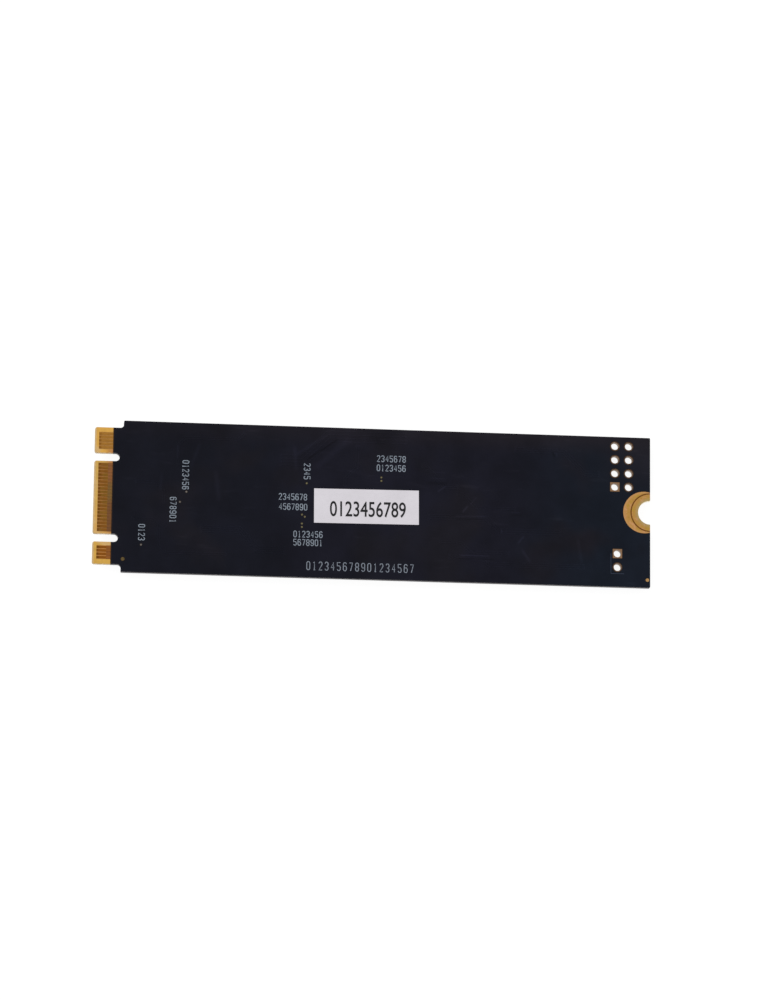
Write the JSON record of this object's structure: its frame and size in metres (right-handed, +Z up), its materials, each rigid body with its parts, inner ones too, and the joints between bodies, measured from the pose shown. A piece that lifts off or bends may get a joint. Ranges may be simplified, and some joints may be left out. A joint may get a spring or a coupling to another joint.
{
  "type": "gumstick solid state drive",
  "caption": "Narrow plug-in solid state drive card: gold edge connector with two key slots, screw notch at the far end, chips on one side, bare labelled back.",
  "frame": {"origin": "middle of the card's length and width, on the surface that the flash packages rest on", "axes": "+X from the edge connector to the screw notch, +Z up through the bare back, +Y to the side with the first key slot"},
  "size_m": [0.08, 0.022, 0.0021],
  "materials": {
    "laminate": "glass and resin board, satin, golden brown where bare",
    "solder_mask": "dark navy-black satin coat with faint traces below it",
    "contact_gold": "gold-plated contacts, slightly worn",
    "ring_gold": "matt gold plating",
    "hole_plating": "pale gold plating",
    "legend_ink": "pale grey printed ink",
    "label_paper": "matt white label paper",
    "label_ink": "black print",
    "package": "black moulding compound, fine matt texture",
    "solder": "bright tin solder",
    "ceramic_dark": "dark ceramic",
    "crystal_lid": "satin metal lid",
    "capacitor": "fired tan ceramic",
    "resistor": "black glaze on ceramic",
    "fuse": "white ceramic",
    "inductor": "pressed iron powder, grey"
  },
  "bodies": {
    "root": {"board_laminate": "laminate", "solder_mask_back": "solder_mask", "solder_mask_front": "solder_mask", "edge_contacts_back": "contact_gold", "edge_contacts_front": "contact_gold", "mount_ring": "ring_gold", "ground_crescent_back": "ring_gold", "ground_crescent_front": "ring_gold", "header_sleeves": "hole_plating", "jumper_sleeves": "hole_plating", "test_points": "hole_plating", "fiducials": "ring_gold", "component_lands": "solder", "legend_back": "legend_ink", "legend_front": "legend_ink", "serial_label": "label_paper", "label_print": "label_ink", "controller_package": "package", "controller_balls": "solder", "flash_package_1": "package", "flash_package_2": "package", "flash_package_3": "package", "flash_package_4": "package", "flash_balls_1": "solder", "flash_balls_2": "solder", "flash_balls_3": "solder", "flash_balls_4": "solder", "config_memory_body": "package", "config_memory_pads": "solder", "crystal_base": "ceramic_dark", "crystal_pads": "solder", "crystal_lid": "crystal_lid", "core_regulator": "package", "memory_regulator": "package", "interface_regulator": "package", "regulator_pads": "solder", "inductor_bodies": "inductor", "inductor_ends": "solder", "load_switch_body": "package", "load_switch_leads": "solder", "surge_diode_body": "package", "surge_diode_leads": "solder", "input_fuse_body": "fuse", "input_fuse_ends": "solder", "bulk_capacitor_bodies": "capacitor", "bulk_capacitor_ends": "solder", "bypass_capacitor_bodies": "capacitor", "bypass_capacitor_ends": "solder", "lane_capacitor_bodies": "capacitor", "lane_capacitor_ends": "solder", "resistor_bodies": "resistor", "resistor_ends": "solder"}
  },
  "joints": []
}
